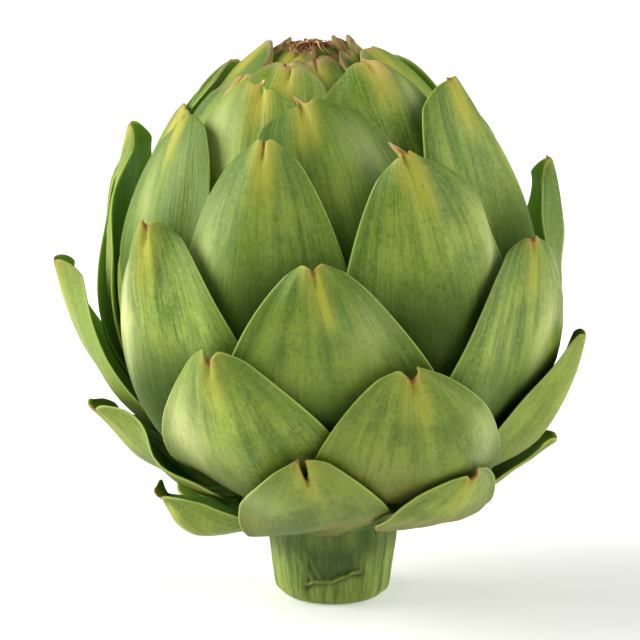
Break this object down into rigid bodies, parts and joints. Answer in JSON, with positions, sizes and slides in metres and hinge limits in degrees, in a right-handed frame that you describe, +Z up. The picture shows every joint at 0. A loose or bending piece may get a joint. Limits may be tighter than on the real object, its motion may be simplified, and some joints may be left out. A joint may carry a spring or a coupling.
{
  "type": "globe artichoke",
  "caption": "Whole globe artichoke standing on its cut stem: overlapping notched bracts in a spiral around a closed bud.",
  "frame": {"origin": "centre of the stem's cut face, on the surface that the artichoke stands on", "axes": "+Z up along the stem towards the tip of the head; -Y towards the front, the side with the leaf scar on the stem"},
  "size_m": [0.1136, 0.1135, 0.1233],
  "materials": {
    "bract": "fresh green bract with a pale waxy bloom, fine lengthwise veins and a yellow streak under the tip",
    "bud": "fresh inner bracts, yellow green with brown dry tips",
    "stem": "fresh ribbed stem, cut across at the foot"
  },
  "bodies": {
    "root": {"bract_01": "bract", "bract_02": "bract", "bract_03": "bract", "bract_04": "bract", "bract_05": "bract", "bract_06": "bract", "bract_07": "bract", "bract_08": "bract", "bract_09": "bract", "bract_10": "bract", "bract_11": "bract", "bract_12": "bract", "bract_13": "bract", "bract_14": "bract", "bract_15": "bract", "bract_16": "bract", "bract_17": "bract", "bract_18": "bract", "bract_19": "bract", "bract_20": "bract", "bract_21": "bract", "bract_22": "bract", "bract_23": "bract", "bract_24": "bract", "bract_25": "bract", "bract_26": "bract", "bract_27": "bract", "bract_28": "bract", "bract_29": "bract", "bract_30": "bract", "bract_31": "bract", "bract_32": "bract", "bract_33": "bract", "bract_34": "bract", "bract_35": "bract", "bract_36": "bract", "bract_37": "bract", "bract_38": "bract", "bract_39": "bract", "bract_40": "bract", "bract_41": "bract", "bract_42": "bract", "bract_43": "bract", "bract_44": "bract", "bud": "bud", "stem": "stem"}
  },
  "joints": []
}
